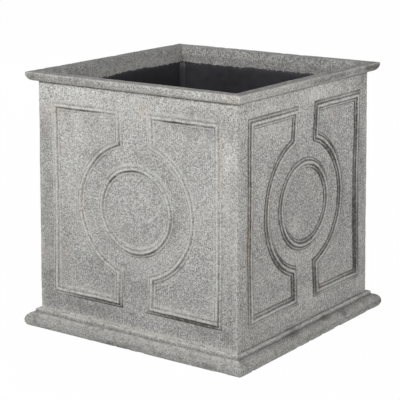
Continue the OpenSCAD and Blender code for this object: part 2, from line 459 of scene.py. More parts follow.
# How much dark wash stays in all grooves and along all edges, and how much painted shade falls on flanks
# that face the shaded way and where groove and edge run together there; then how sharply that shade falls
# off, and the shaded way, along and up
BAND_WASH_AND_SHADE = (
    (0.15, 0.06, 0.66, 0.4, 2.0, 0.26, -0.97),
    (0.74, 0.74, 0.20, 0.1, 1.0, -0.60, 0.80),
    (0.30, 0.20, 0.55, 0.3, 1.4, 0.30, -0.95),
    (0.30, 0.20, 0.55, 0.3, 1.4, -0.40, -0.92),
)

# Painted highlight on the strapwork where it faces up, wear where it stands out, and pale dust at the foot of
# a wall
UPWARD_HIGHLIGHT = (0.55, 0.12, 0.4, 0.4)
WEAR = (0.56, 0.3, 0.45, 0.45)
FOOT_DUST = (0.6, 0.0, 0.0, 0.0)

# How much the strapwork's wash and painted shade come and go along it, and how far it sits off its side's
# middle
BAND_FADES = (0.9, 0.15, 0.7, 0.7)
BAND_SHIFT = (0.0, 2.5 * MM, 0.0, -1.0 * MM)

# The painted shade line under the rim, at the top of the wall
RIM_SHADE_LINE = 0.85

# Spattered specks outside and on the bare inside above the coat, and how dirty that bare inside is
OUTSIDE_SPATTER = (0.06, 0.52, 0.2, 0.2)
INSIDE_SPATTER = (0.5, 0.5, 0.55, 0.12)
INSIDE_FILM = (0.0, 0.0, 0.12, 0.40)

# How much painted shade darkens the rim's top face, and its specks
RIM_TOP_SHADE = (0.70, 0.80, 0.6, 0.95)
RIM_SPATTER = 0.12

# How much the wash and painted shade on rim and plinth come and go along them
RAIL_BREAKS = (0.9, 0.35, 0.6, 0.6)

# The plinth's wash in its grooves and painted shade on its large round, its pale dust with painted light, and
# the depths in millimetres of the groove between its two rounds and of the one at the wall's foot
PLINTH_WASH_AND_SHADE = ((0.15, 0.0), (0.42, 0.45), (0.4, 0.3), (0.4, 0.3))
PLINTH_DUST_AND_LIGHT = (1.0, 0.15, 0.3, 0.3)
CREASE_DEPTH = (0.1, 0.6, 0.5, 0.5)
FOOT_CREASE = (0.1, 0.8, 0.5, 0.5)

# The coat's wear value in the corners and on the strips, out of 1, shown as a painted bluish sheen, and how
# much lower its edge lies at one end of a side
COAT_SHEEN = 0.3
COAT_DIP = (0.0, 1.5 * MM, 0.0, 4.0 * MM)

# Darker patches: place along and up and reach along and up, in millimetres, and strength; stains and dirt,
# with painted shade low on the plinths
DARK_PATCHES = {
    "front": (
        (-220, 484, 60, 12, 0.85), (-120, 484, 90, 9, 0.68), (50, 484, 180, 9, 0.3),
        (-218, 345, 22, 75, 0.45), (-214, 220, 24, 160, 0.36), (-205, 89, 40, 60, 0.35),
        (155, 430, 70, 30, 0.6), (200, 430, 30, 30, 0.5), (215, 304, 14, 60, 0.3), (-90, 409, 30, 25, 0.22),
        (-100, 124, 35, 30, 0.22), (-110, 58, 100, 14, 0.5), (160, 63, 60, 14, 0.44), (0, 256, 80, 80, 0.06),
        (120, 370, 60, 60, 0.22), (212, 140, 12, 60, 0.3), (-100, 478, 60, 6, 0.5), (-230, 12, 30, 20, 0.4),
        (60, 12, 300, 14, 0.42), (-226, 14, 8, 10, 0.8), (-30, 5, 50, 7, 0.9), (180, 7, 40, 7, 0.7),
        (-42, 398, 24, 40, 0.42), (20, 350, 50, 50, 0.3), (-20, 115, 60, 34, 0.36), (83, 235, 18, 34, 0.42),
        (-84, 140, 22, 22, 0.35), (-160, 420, 30, 20, 0.18), (208, 60, 20, 15, 0.6),
        (-65, 340, 40, 36, 0.27), (41, 300, 22, 30, 0.24), (-167, 120, 22, 40, 0.2),
        (150, 380, 35, 30, 0.24), (-208, 295, 20, 25, 0.45),
    ),
    "right": (
        (220, 484, 130, 12, 1.15), (60, 484, 120, 10, 0.95), (-150, 484, 100, 9, 0.3),
        (65, 389, 30, 25, 0.22), (206, 240, 18, 200, 0.47), (-125, 225, 16, 22, 0.55),
        (198, 170, 10, 130, 0.55), (196, 360, 9, 50, 0.35), (137, 256, 10, 60, 0.5), (62, 303, 12, 25, 0.4),
        (118, 340, 24, 60, 0.22), (203, 460, 25, 25, 0.55), (52, 100, 8, 30, 0.3), (200, 13, 70, 10, 0.75),
        (30, 12, 35, 10, 0.7), (20, 256, 90, 90, 0.1), (187, 160, 12, 150, 0.45), (-20, 14, 300, 12, 0.6),
        (250, 12, 50, 12, 1.0), (-60, 27, 24, 8, 1.2), (110, 20, 16, 8, 1.1), (50, 26, 18, 6, 0.9),
        (-236, 16, 12, 14, 0.9), (100, 285, 30, 40, 0.27),
    ),
    "back": ((-150, 364, 50, 60, 0.3), (120, 64, 90, 30, 0.35), (210, 154, 20, 90, 0.3)),
    "left": ((160, 374, 50, 50, 0.3), (-100, 58, 100, 25, 0.35)),
}

# Darker stains on the bare inside above the coat, in the same form
INSIDE_STAINS = {
    "right": ((50, 470, 60, 12, 0.25),),
    "back": ((200, 470, 35, 20, 0.75), (0, 470, 400, 30, 0.5)),
    "left": ((90, 470, 40, 14, 0.8), (30, 468, 30, 8, 0.5)),
}

# Paler patches on the walls, in the same form; those just under the rim are painted light over its shadow
PALE = {
    "front": (
        (207, 370, 10, 50, 0.45), (205, 300, 14, 50, 0.3), (0, 462, 50, 15, 0.25), (-140, 440, 40, 30, 0.15),
        (-42, 225, 16, 22, 0.25), (160, 465, 60, 10, 0.2),
    ),
    "right": (
        (30, 456, 100, 14, 0.5), (-208, 320, 14, 120, 0.1), (-60, 400, 50, 30, 0.18),
        (-120, 256, 30, 100, 0.12), (200, 55, 35, 20, 0.4), (-125, 438, 80, 40, 0.5),
        (-20, 75, 220, 35, 0.28), (83, 160, 40, 30, 0.25), (-20, 150, 200, 30, 0.22),
        (-30, 216, 24, 22, 0.32), (208, 150, 12, 100, 0.3),
    ),
    "back": ((60, 430, 80, 30, 0.25),),
    "left": ((-100, 400, 60, 50, 0.2),),
}

# Where the wash on the strapwork was left thick, in the same form
SMEARS = {
    "front": (
        (-89, 345, 35, 35, 0.45), (89, 167, 35, 35, 0.15), (-70, 69.5, 70, 6, 0.8), (-53, 309, 24, 22, 0.38),
        (0, 179, 30, 14, 0.25), (-42, 100, 12, 25, 0.25), (78, 256, 12, 30, 0.16), (110, 69.5, 90, 6, 1.35),
    ),
    "right": (
        (184, 160, 25, 120, 1.7), (184, 360, 25, 80, 1.2), (40, 405, 12, 40, 1.2), (40, 90, 14, 40, 1.2),
        (-35, 100, 14, 40, 1.3), (-35, 400, 12, 40, 0.35), (91, 345, 35, 35, 1.35), (-87, 167, 35, 35, 1.25),
        (127, 260, 12, 70, 0.9), (57, 310, 28, 28, 1.1), (-52, 202, 28, 28, 0.8), (-180, 250, 10, 140, 0.35),
        (89, 167, 30, 30, 0.25), (-125, 256, 20, 50, 0.1), (0, 180, 30, 12, 0.35), (79, 256, 10, 40, 0.3),
        (-74, 256, 10, 40, 0.25),
    ),
    "back": ((90, 167, 40, 40, 0.5), (-40, 400, 12, 40, 0.6)),
    "left": ((180, 160, 20, 100, 0.6),),
}

# Where it was wiped thin, in the same form
WIPED = {
    "front": ((198, 105, 10, 35, 0.8), (-184, 360, 12, 60, 0.7), (40, 410, 14, 22, 0.7)),
    "right": (
        (120, 69.5, 100, 12, 0.65), (-120, 69.5, 100, 12, 0.6), (-110, 442.5, 90, 12, 0.22),
        (130, 442.5, 60, 12, 0.28),
    ),
}

# Brownish tints, in the same form
TINTS = {
    "front": (
        (186, 374, 7, 60, 0.7), (-178, 424, 20, 15, 0.5), (20, 444, 20, 15, 0.5), (-120, 250, 12, 50, 0.4),
        (215, 478, 30, 20, 0.45),
    ),
    "right": (
        (-187, 254, 9, 130, 0.9), (-120, 264, 12, 50, 0.5), (-60, 420, 12, 20, 0.4),
        (-190, 478, 40, 20, 0.4),
    ),
    "back": ((100, 420, 30, 30, 0.4),),
    "left": ((0, 440, 40, 20, 0.4),),
}


def spots(table, side, along, height):
    """How strongly this side's rows of a table show at these places."""
    total = np.zeros(np.broadcast(along, height).shape)
    for middle, level, wide, tall, strength in table.get(SIDES[side], ()):
        far = ((along / MM - middle) / wide) ** 2 + ((height / MM - level) / tall) ** 2
        total = np.maximum(total, strength * np.exp(-far))
    return total


# The walls


def worn_arris(corner, levels, edge):
    """Places along and out round one worn arris, from the mitre to the wall face."""
    turn = np.radians(np.linspace(45, 0, ARRIS_POINTS))[None, :]
    place = np.stack([levels * 0 + corner, levels * 0, levels], -1)
    worn = (2.4 + 1.1 * noise(place, 30 * MM, seed=11, octaves=3)) * MM
    radius = np.clip(worn, 1.2 * MM, 4.5 * MM)
    return edge - radius + radius * np.sin(turn), edge - radius + radius * np.cos(turn)


def wall_paint(side, along, inside, levels):
    """The paint of a wall's points, those of its outer face first."""
    ends = 0.2 * (1 - corner_fade(along, 6 * MM))
    foot = FOOT_DUST[side] * smooth((PLINTH_TOP + 7 * MM - levels) / (6 * MM))
    film = INSIDE_FILM[side]
    stained = np.maximum(film, spots(INSIDE_STAINS, side, inside, levels))
    faces = {
        # Painted shade: a dark line at the top of the wall, under the rim
        "wash_and_shade": (RIM_SHADE_LINE * smooth((levels - WALL_TOP + 4 * MM) / (1.6 * MM)), 0.0),
        # Paler patches, some of them painted light under the rim, and pale dust at the foot
        "wear": (np.maximum(np.maximum(ends, foot), spots(PALE, side, along, levels)), 0.6 * film),
        "grime_and_shade": (spots(DARK_PATCHES, side, along, levels), stained),
        "spatter": (OUTSIDE_SPATTER[side], INSIDE_SPATTER[side]),
        "rust": (spots(TINTS, side, along, levels), 0.0),
    }
    shapes = (along.shape, inside.shape)
    return {
        layer: np.hstack([np.broadcast_to(value, shape) for value, shape in zip(values, shapes)])
        for layer, values in faces.items()
    }


def wall_body(shell, side):
    """The panel itself: a loft of plan sections with a worn arris at both mitred ends."""
    near_rim = WALL_TOP - np.array([5.0, 4.0, 3.2, 2.4, 1.2, 0.0]) * MM
    levels = np.concatenate([spaced(0, WALL_TOP - 8 * MM, WALL_STEP), near_rim])[:, None]
    edge = HALF + flare_at(levels)
    start_along, start_out = worn_arris((side + 3) % 4, levels, edge)
    end_along, end_out = worn_arris(side, levels, edge)
    face = spaced(-1, 1, WALL_STEP / HALF)[None, 1:-1] * (HALF - 5 * MM)
    flat = np.broadcast_to(face, (len(levels), face.shape[1]))
    along = np.hstack([-start_along, flat, end_along[:, ::-1]])
    out = wall_surface(side, along, levels)
    out[:, :ARRIS_POINTS] = start_out
    out[:, -ARRIS_POINTS:] = end_out[:, ::-1]
    inside = np.broadcast_to(np.linspace(INNER, -INNER, INNER_POINTS)[None, :], (len(levels), INNER_POINTS))
    ring_along = np.hstack([along, inside])
    ring_out = np.hstack([out, np.full(inside.shape, INNER)])
    paint = wall_paint(side, along, inside, levels)
    shell.caps(shell.grid(turned(side, ring_along, ring_out, levels), close_columns=True, **paint))


# Half of the band's section: place across it and height over the wall, in millimetres, then wash and
# painted shade in the groove beside the bead, along the outer edge and where the two run together, and wear
BAND_SECTION = (
    (-13.5, -0.6, 0, 0, 0, 0), (-11.2, 0.03, 0, 0.15, 0, 0), (-10.0, 0.15, 0, 0.8, 0.2, 0),
    (-9.3, 0.4, 0, 1.0, 0.5, 0), (-8.6, 1.1, 0, 1.0, 0.8, 0), (-8.0, 1.75, 0.1, 0.45, 0.9, 0.6),
    (-7.2, 2.0, 0.15, 0.1, 1.0, 0.8), (-6.0, 2.05, 0.35, 0, 1.0, 0.5), (-5.2, 1.95, 0.85, 0, 0.6, 0),
    (-4.5, 1.75, 1.0, 0, 0.3, 0), (-4.0, 1.7, 1.0, 0, 0.3, 0), (-3.5, 2.15, 1.0, 0, 0.4, 0),
    (-2.9, 2.8, 0.7, 0, 0.5, 0), (-2.1, 3.5, 0.2, 0, 0.5, 0.4), (-1.1, 4.05, 0, 0, 0.1, 0.9),
    (0, 4.3, 0, 0, 0, 1.0),
)

# How far the hollow beside the bead, and the band itself, reach from the band's middle, in millimetres
HOLLOW_ACROSS = 4
BAND_ACROSS = 10.5

# The painted shade on the front's outer edges that face the shaded way is gone above this height, and full
# from this much below
LOW_SHADE_TOP = 0.24
LOW_SHADE_FADE = 0.12

# How far the band wanders sideways, in millimetres, and the strength above which a smear's wash is unbroken
BAND_WANDER = 0.35
FULL_SMEAR = 0.3

# How many points go round the ring, along the straight sides of a half frame, and along its arc
RING_POINTS = 190
STRAIGHT_POINTS = (28, 55, 130, 55, 28)
ARC_POINTS = 114


def band_section():
    """The whole section: the half and its mirror image."""
    half = np.array(BAND_SECTION)
    other = half[-2::-1] * (-1, 1, 1, 1, 1, 1)
    return np.concatenate([half, other])


def band_wash_and_light(side, across, shares, facing, smear, height):
    """How much dark wash, painted shade and painted highlight the band gets, from the way each flank faces.
    """
    in_groove, on_edge, joined = shares
    grooves, edges, shaded_flanks, run_together, power, shade_along, shade_up = BAND_WASH_AND_SHADE[side]
    flank_along, flank_up = np.sign(across) * facing[0], np.sign(across) * facing[1]
    # Painted shade on the flanks that face the shaded way; on the front, at the outer edges only low on the
    # wall
    facing_shade = np.clip(flank_along * shade_along + flank_up * shade_up, 0, 1) ** power
    low = smooth((LOW_SHADE_TOP - height) / LOW_SHADE_FADE) if SIDES[side] == "front" else 0.9
    groove = grooves + shaded_flanks * facing_shade
    edge = edges + shaded_flanks * facing_shade * low
    between = run_together * facing_shade * np.where(np.abs(across) > HOLLOW_ACROSS, low, 1)
    wash_and_shade = in_groove * groove + on_edge * edge + joined * between
    thick = 0.75 * np.maximum(in_groove, on_edge) + 0.25 * joined
    wash_and_shade = wash_and_shade + smear * thick + 0.7 * np.clip(smear - 1, 0, 1)
    # Painted highlight on the flanks that face up
    up_highlight = UPWARD_HIGHLIGHT[side] * np.clip(flank_up, 0, 1) * np.clip((BAND_ACROSS + 1 - np.abs(across)) / 2, 0, 1)
    return np.clip(wash_and_shade, 0, 1), up_highlight * (1 - 0.9 * in_groove)


def lay_band(shell, side, path, flip):
    """Lays the band along a closed path, which gives the places for every offset across the band."""
    section = band_section()
    across, rise, *shares, wear = (section[:, i][None, :] for i in range(section.shape[1]))
    along, up = path(across * MM)
    next_along, next_up = path((across + 1) * MM)
    step_along, step_up = next_along - along, next_up - up
    at = turned(side, along, HALF, FRAME_MID + up)
    wobble = BAND_WANDER * noise(at, 16 * MM, seed=21, octaves=2) * (np.abs(across) < BAND_ACROSS)
    along, up = along + wobble * step_along, up + wobble * step_up
    height = FRAME_MID + up
    along = along * (1 + flare_at(height) / HALF) + BAND_SHIFT[side]
    flattened = np.clip(0.92 + 0.15 * noise(at, 40 * MM, seed=23, octaves=2), 0.6, 1.08)
    lift = rise * np.where(rise > 0, flattened, 1) * MM
    out = wall_surface(side, along, height) + lift
    length = np.hypot(step_along, step_up)
    facing = (step_along / length, step_up / length)
    smear = spots(SMEARS, side, along, height)
    wash_and_shade, up_highlight = band_wash_and_light(side, across, shares, facing, smear, height)
    fades = BAND_FADES[side]
    fading = np.clip(1 - 0.15 * fades + fades * noise(at, 34 * MM, seed=27, octaves=2), 0.35, 1.3)
    fading = np.where(smear > FULL_SMEAR, 1, fading)
    wash_and_shade = np.clip(wash_and_shade * fading * (1 - spots(WIPED, side, along, height)), 0, 1)
    paint = {
        "wash_and_shade": wash_and_shade,
        # Wear on the crest, and painted highlight on the flanks that face up
        "wear": np.maximum(wear * WEAR[side], up_highlight) * (1 - np.clip(0.8 * smear, 0, 1)),
        "grime_and_shade": spots(DARK_PATCHES, side, along, height),
        "rust": spots(TINTS, side, along, height),
    }
    shell.grid(turned(side, along, out, height), close_rows=True, close_columns=True, flip=flip, **paint)


def ring_path(offset):
    """The ring: a circle round the middle of the wall."""
    angle = np.linspace(0, 2 * math.pi, RING_POINTS, endpoint=False)[:, None]
    radius = RING_R + offset
    return radius * np.cos(angle), radius * np.sin(angle)


def frame_path(mirror):
    """One half frame: three outer sides, two short inner ones and the arc that bends round the ring."""
    def places(offset):
        """The places all along the half frame at this offset."""
        inward = BAND_HALF + offset
        near, far, top = CHANNEL_X + inward, FRAME_X - inward, FRAME_Y - inward
        radius = ARC_R + offset
        joint = np.sqrt(radius ** 2 - near ** 2)
        turn = np.arctan2(joint, near)
        corners = [(near, joint), (near, top), (far, top), (far, -top), (near, -top), (near, -joint)]
        along, up = [], []
        for count, (x0, y0), (x1, y1) in zip(STRAIGHT_POINTS, corners, corners[1:]):
            t = np.arange(count)[:, None] / count
            along.append(x0 + (x1 - x0) * t)
            up.append(y0 + (y1 - y0) * t)
        t = np.linspace(-1, 1, ARC_POINTS + 1)[:-1, None]
        along.append(radius * np.cos(turn * t))
        up.append(radius * np.sin(turn * t))
        return mirror * np.concatenate(along), np.concatenate(up)
    return places


def make_wall(side):
    """One wall panel with its strapwork: the ring and the two half frames."""
    shell = Shell()
    wall_body(shell, side)
    lay_band(shell, side, ring_path, flip=False)
    lay_band(shell, side, frame_path(1), flip=True)
    lay_band(shell, side, frame_path(-1), flip=False)
    wall = shell.build(SIDES[side] + "_wall_stone", STONE)
    settle(wall, SIDES[side] + "_wall")


# The rim and the plinth


def arc(centre, start, end, wide, tall, steps):
    """Points of an ellipse's arc from one angle to another, in degrees."""
    angles = np.radians(np.linspace(start, end, steps))
    return [(centre[0] + wide * math.cos(a), centre[1] + tall * math.sin(a)) for a in angles]


def painted(count, *stretches):
    """Paint for a section's points: 0 but for stretches, each given as its first point and its values."""
    layer = np.zeros(count)
    for first, values in stretches:
        layer[first:first + len(values)] = values
    return layer


def rail(side, kind, section, paint, shape):
    """A mitred rail: a closed section, out from the wall face and up, carried along the side."""
    section = np.array(section)
    out, up = section[:, 0][None, :], section[:, 1][None, :]
    along = spaced(-1, 1, 3 * MM / HALF)[:, None] * (HALF + out)
    out, up = np.broadcast_to(HALF + out, along.shape), np.broadcast_to(up, along.shape)
    along, out, up = shape(side, along, out, up)
    outside = out > HALF
    back_edge = turned(side, along[:, :1], HALF, 0)
    broken = np.clip(0.5 + 1.6 * noise(back_edge, 45 * MM, seed=71, octaves=2), 0, 1)
    paint = {layer: values[None, :] for layer, values in paint.items()}
    paint["wash_and_shade"] = paint["wash_and_shade"] * (1 - RAIL_BREAKS[side] * broken)
    paint["grime_and_shade"] = np.maximum(paint.get("grime_and_shade", 0), spots(DARK_PATCHES, side, along, up) * outside)
    paint["rust"] = spots(TINTS, side, along, up) * outside
    shell = Shell()
    shell.caps(shell.grid(turned(side, along, out, up), close_columns=True, flip=True, **paint), flip=True)
    node = f"{SIDES[side]}_{kind}"
    settle(shell.build(node + "_stone", STONE), node)


def chips(side, along, seed, count, depth, length):
    """How much stone is missing along a rail's edge, from a few chips at fixed random places."""
    chance = np.random.default_rng(seed * 10 + side)
    missing = np.zeros_like(along)
    for _ in range(count):
        where = chance.uniform(-0.97, 0.97) * HALF
        size = length * chance.uniform(0.5, 1.4)
        bite = depth * chance.uniform(0.35, 1.0)
        missing = np.maximum(missing, bite * smooth(1.6 - np.abs(along - where) / size))
    return missing


def shape_rim(side, along, out, up):
    """Wears the rim: chips, waves, knocked corners and a top that isn't quite level."""
    at = turned(side, along, out, up)
    fade = corner_fade(along * HALF / (HALF + RIM_OUT), 14 * MM)
    face = smooth((out - HALF) / RIM_OUT)
    near_arris = smooth((up - RIM_TOP + RIM_ARRIS + 2 * MM) / (3 * MM))
    edge = near_arris * smooth((out - HALF - 0.4 * RIM_OUT) / (0.5 * RIM_OUT))
    missing = chips(side, along, seed=4, count=9, depth=0.7 * MM, length=4 * MM) * edge
    corner = 0.2 * MM * face * smooth(1.3 - (HALF + RIM_OUT - np.abs(along)) / (5 * MM))
    top = smooth((up - WALL_TOP) / (RIM_TOP - WALL_TOP))
    new_up = up + top * waves(at, RIM_TOP_WAVES) * fade - missing * 0.8
    new_out = out + face * waves(at, RIM_WAVES) * fade - missing - corner
    return along * np.where(fade < 1, new_out / out, 1.0), new_out, new_up


def make_rim(side):
    """Flat top, square arris, quarter-round underside."""
    back, arris = INNER - HALF, RIM_TOP - RIM_ARRIS
    centre = RIM_OUT - RIM_ROUND
    soft = 1.0 * MM
    section = [(back, WALL_TOP), (back, RIM_TOP - soft)]
    inner_arris = len(section)
    section += arc((back + soft, RIM_TOP - soft), 160, 90, soft, soft, 3)
    section += [(back + (RIM_OUT - back) * t, RIM_TOP) for t in (0.25, 0.5, 0.75)]
    outer_arris = len(section)
    section += arc((RIM_OUT - soft, RIM_TOP - soft), 90, 10, soft, soft, 4)
    section += [(RIM_OUT, RIM_TOP - 0.6 * RIM_ARRIS), (RIM_OUT, arris)]
    quarter = len(section)
    section += arc((centre, arris), -8, -90, RIM_ROUND, RIM_ROUND, 12)
    section += [(centre * 0.3, WALL_TOP), (-0.8 * MM, WALL_TOP)]
    count = len(section)
    top_points = outer_arris - inner_arris
    # The inside film on the rim's inner face, and painted shade on its top face
    inside_film_and_top_shade = ((0, (INSIDE_FILM[side],) * inner_arris), (inner_arris, (RIM_TOP_SHADE[side],) * top_points))
    paint = {
        # Painted shade on the quarter round's lower end, where it meets the wall
        "wash_and_shade": painted(count, (quarter + 8, (0.1, 0.35, 0.6, 0.8, 0.9, 0.9))),
        "wear": painted(count, (inner_arris, (0.2, 0.2, 0.2)), (outer_arris, (0.2, 0.36, 0.36, 0.28, 0.16))),
        "spatter": np.where(np.arange(count) <= inner_arris, INSIDE_SPATTER[side], RIM_SPATTER),
        # Painted shade and dirt over the quarter round's lower half
        "grime_and_shade": painted(count, *inside_film_and_top_shade, (quarter + 4, (0.05, 0.1, 0.18, 0.22, 0.25, 0.2))),
    }
    rail(side, "rim", section, paint, shape_rim)


def shape_plinth(side, along, out, up):
    """Wears the plinth: chips, waves and knocked corners."""
    at = turned(side, along, out, up)
    fade = corner_fade(along * HALF / (HALF + PLINTH_OUT), 12 * MM)
    outer = smooth((out - HALF - WALL_FLARE) / (4 * MM))
    edge = outer * smooth((out - HALF - 14 * MM) / (8 * MM))
    missing = chips(side, along, seed=6, count=8, depth=2.2 * MM, length=5 * MM) * edge
    corner = 0.4 * MM * outer * smooth(1.4 - (HALF + PLINTH_OUT - np.abs(along)) / (6 * MM))
    upward = smooth(up / (14 * MM)) * waves(at, PLINTH_TOP_WAVES) * fade
    new_out = out + outer * waves(at, PLINTH_WAVES) * fade - missing - corner
    return along * np.where(fade < 1, new_out / out, 1.0), new_out, np.maximum(up + upward, 0)


def make_plinth(side):
    """A small bead over a large round, both set out with the foot of the wall."""
    face = WALL_FLARE
    bead_out, bead_up, bead_radius = face + 3.6 * MM, PLINTH_TOP - 4.5 * MM, 4.5 * MM
    round_up, round_wide, round_tall = 10 * MM, 14.5 * MM, 15 * MM
    round_out = PLINTH_OUT + 2 * MM - round_wide
    foot_depth, crease_depth = FOOT_CREASE[side] * MM, CREASE_DEPTH[side] * MM
    section = [(-2 * MM, 0.0), (-2 * MM, PLINTH_TOP), (face - 1.5 * MM, PLINTH_TOP - 0.2 * MM)]
    foot = len(section)
    section += [(face + 0.4 * MM, PLINTH_TOP - foot_depth), (face + 1.3 * MM, PLINTH_TOP - 0.9 * foot_depth)]
    bead = len(section)
    section += arc((bead_out, bead_up), 95, -12, bead_radius, bead_radius, 9)
    crease = len(section)
    section += [(face + 8 * MM - crease_depth, 26.2 * MM), (face + 7.7 * MM - crease_depth, 25.4 * MM)]
    large = len(section)
    ground = -math.degrees(math.asin(round_up / round_tall))
    section += arc((round_out, round_up), 97, ground, round_wide, round_tall, 18)
    section += [(face + 10 * MM, 0.0)]
    count = len(section)
    groove_wash, round_shade = PLINTH_WASH_AND_SHADE[side]
    grooves = painted(count, (foot - 1, (0.6, 1.0, 0.8, 0.2)), (crease - 1, (0.2, 1.0, 0.4)))
    # Painted shade on the top of the large round, under the bead
    under_bead_shade = painted(count, (large, (0.8, 0.6, 0.5, 0.4, 0.35, 0.3, 0.2, 0.1)))
    worn = painted(count, (bead + 2, (0.3,) * 4), (large + 5, (0.18,) * 6))
    # Pale dust on the plinth's top, and painted light on the top of its large round
    dust_and_light = painted(count, (foot, (1.0,) * 6), (large + 1, (0.6, 0.8, 0.8, 0.7, 0.5, 0.3, 0.2)))
    paint = {
        "wash_and_shade": grooves * groove_wash + under_bead_shade * round_shade,
        "wear": np.maximum(worn, dust_and_light * PLINTH_DUST_AND_LIGHT[side]),
        "spatter": np.full(count, 0.10 + 0.3 * OUTSIDE_SPATTER[side]),
    }
    rail(side, "plinth", section, paint, shape_plinth)


# The black coat and the bonding strips

# The reach of the coat's thin upper edge, and how far the coat goes into the wall
THIN_EDGE = 5 * MM
COAT_KEY = 0.02 * MM


def thinned(height, top):
    """How near the coat is to its upper edge, from 0 to 1."""
    return smooth((height - (top - THIN_EDGE)) / THIN_EDGE)


def make_coat(side):
    """The coat on one wall, with a ragged brushed edge along the top."""
    low, high = COAT_LOW.z, COAT_HIGH.z
    reach = INNER - 0.6 * MM
    along = spaced(-reach, reach, 1.2 * MM)[None, :]
    ragged = waves(turned(side, along, INNER, high), COAT_EDGE_WAVES)
    top = high + 1.5 * MM + ragged - COAT_DIP[side] * np.clip(along / reach, 0, 1)
    rows = np.concatenate([spaced(0, 0.9, 0.09), [0.95, 0.975, 0.99, 1.0]])[:, None]
    height = low + (top - low) * rows
    uneven = waves(turned(side, along, INNER, height), COAT_SKIN_WAVES)
    skin = (0.45 * MM + uneven) * np.where(rows < 1, 1, 0.1)
    # Painted sheen towards the corners
    dust_and_light = COAT_SHEEN * smooth((np.abs(along) - 0.5 * reach) / (0.5 * reach))
    wear = np.maximum(thinned(height, top), dust_and_light)
    shell = Shell()
    outer = shell.grid(turned(side, along, INNER - skin, height), wear=wear)
    inner = shell.grid(turned(side, along, INNER + COAT_KEY, height), flip=True)
    low_and_high = [(outer[0], inner[0]), (inner[-1], outer[-1])]
    ends = [(inner[:, 0], outer[:, 0]), (outer[:, -1], inner[:, -1])]
    for a, b in low_and_high + ends:
        shell.join([a[:-1], b[:-1], b[1:], a[1:]])
    coat = shell.build(SIDES[side] + "_coat_paint", BLACK)
    settle(coat, SIDES[side] + "_coat")


def make_strip(corner):
    """A coved bonding strip in one inner corner, painted over with the coat and ragged at its upper end."""
    low, high = STRIP_LOW.z, STRIP_HIGH.z
    leg = INNER - STRIP_LOW.x
    rows = np.concatenate([spaced(0, 0.95, 0.01), [0.97, 0.985, 0.995, 1.0]])[:, None]
    angle = np.radians(np.linspace(180, 270, 9))[None, :]
    at = np.stack([rows * 0 + corner, rows * 0, low + (high - low) * rows], -1)
    size = leg * (1 + 0.06 * noise(at, 50 * MM, seed=61, octaves=2)) * np.where(rows < 0.99, 1, 0.75)
    along, out = INNER - size - size * np.cos(angle), INNER - size - size * np.sin(angle)
    edge = np.broadcast_to(INNER, (len(rows), 1))
    ring_along, ring_out = np.hstack([along, edge]), np.hstack([out, edge])
    end = turned(corner, ring_along[-1], ring_out[-1], high)
    top = high - 0.5 * MM + 1.2 * MM * noise(end, 6 * MM, seed=63)[None, :]
    height = low + (top - low) * rows
    shell = Shell()
    # Painted sheen all over the strip
    wear = np.maximum(thinned(height, top), COAT_SHEEN)
    shell.caps(shell.grid(turned(corner, ring_along, ring_out, height), wear=wear, close_columns=True))
    strip = shell.build(CORNERS[corner] + "_strip_paint", BLACK)
    settle(strip, CORNERS[corner] + "_strip")


# The bung

# How square the tab's plan is: 1 would be an ellipse, and 0 a rectangle
TAB_SQUARE = 0.35


def bulge(value):
    """Draws a sine or cosine towards 1 or -1, which squares an ellipse off."""
    return np.sign(value) * np.abs(value) ** TAB_SQUARE


def make_bung():
    """A tapered rubber bung with a rolled head and a finger tab."""
    stem_low, stem_r, head_r = BUNG_LOW.z / MM, 11.7, BUNG_HIGH.x / MM
    head_low = SLEEVE_HIGH.z / MM + 0.3
    head_top = head_low + 4
    outline = MM * np.array([
        (0.05, stem_low), (stem_r - 2.4, stem_low), (stem_r - 1.2, stem_low + 1.0),
        (stem_r - 0.2, head_low - 2), (stem_r, head_low), (head_r - 1.0, head_low),
        (head_r - 0.2, head_low + 0.8), (head_r, head_low + 1.8), (head_r - 0.5, head_top - 1.2),
        (head_r - 1.8, head_top - 0.2), (head_r - 3.4, head_top), (head_r - 6.0, head_top - 0.7),
        (0.05, head_top - 0.9),
    ])
    radius, height = outline[:, 0][None, :], outline[:, 1][None, :]
    angle = np.linspace(0, 2 * math.pi, 64, endpoint=False)[:, None]
    x, y = radius * np.cos(angle), radius * np.sin(angle)
    shell = Shell()
    index = shell.grid(np.stack([x, y, np.broadcast_to(height, x.shape)], -1), close_rows=True)
    shell.caps(index.T)
    tab_top = BUNG_HIGH.z / MM
    tab = MM * np.array([  # levels of the tab, with half its width and half its thickness there
        (head_top - 1.5, 7.0, 1.75), (head_top - 0.2, 7.0, 1.75), (head_top + 1, 6.58, 1.4),
        (tab_top - 2, 6.58, 1.4), (tab_top - 0.8, 5.88, 1.26), (tab_top - 0.2, 4.2, 0.875),
        (tab_top, 2.1, 0.35),
    ])
    level, width, thick = (tab[:, i][:, None] for i in range(3))
    turn = np.linspace(0, 2 * math.pi, 28, endpoint=False)[None, :]
    x, y = width * bulge(np.cos(turn)), thick * bulge(np.sin(turn))
    shell.caps(shell.grid(np.stack([x, y, np.broadcast_to(level, x.shape)], -1), close_columns=True))
    bung = shell.build("drain_bung_rubber", RUBBER, sharp=55)
    settle(bung, "drain_bung", body="bung")


def dress(node, material):
    """Gives a CAD node, whose shape stays, its material."""
    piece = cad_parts[node]
    for slot in piece.material_slots:
        slot.material = material


# The room, the lights and the camera

# The floor's own colour, how white the camera sees it, half its width, and how far under the planter it lies
FLOOR_COLOUR = (0.85, 0.85, 0.85)
FLOOR_WHITE = 0.985
FLOOR_REACH = 12.0
FLOOR_DROP = 0.5 * MM

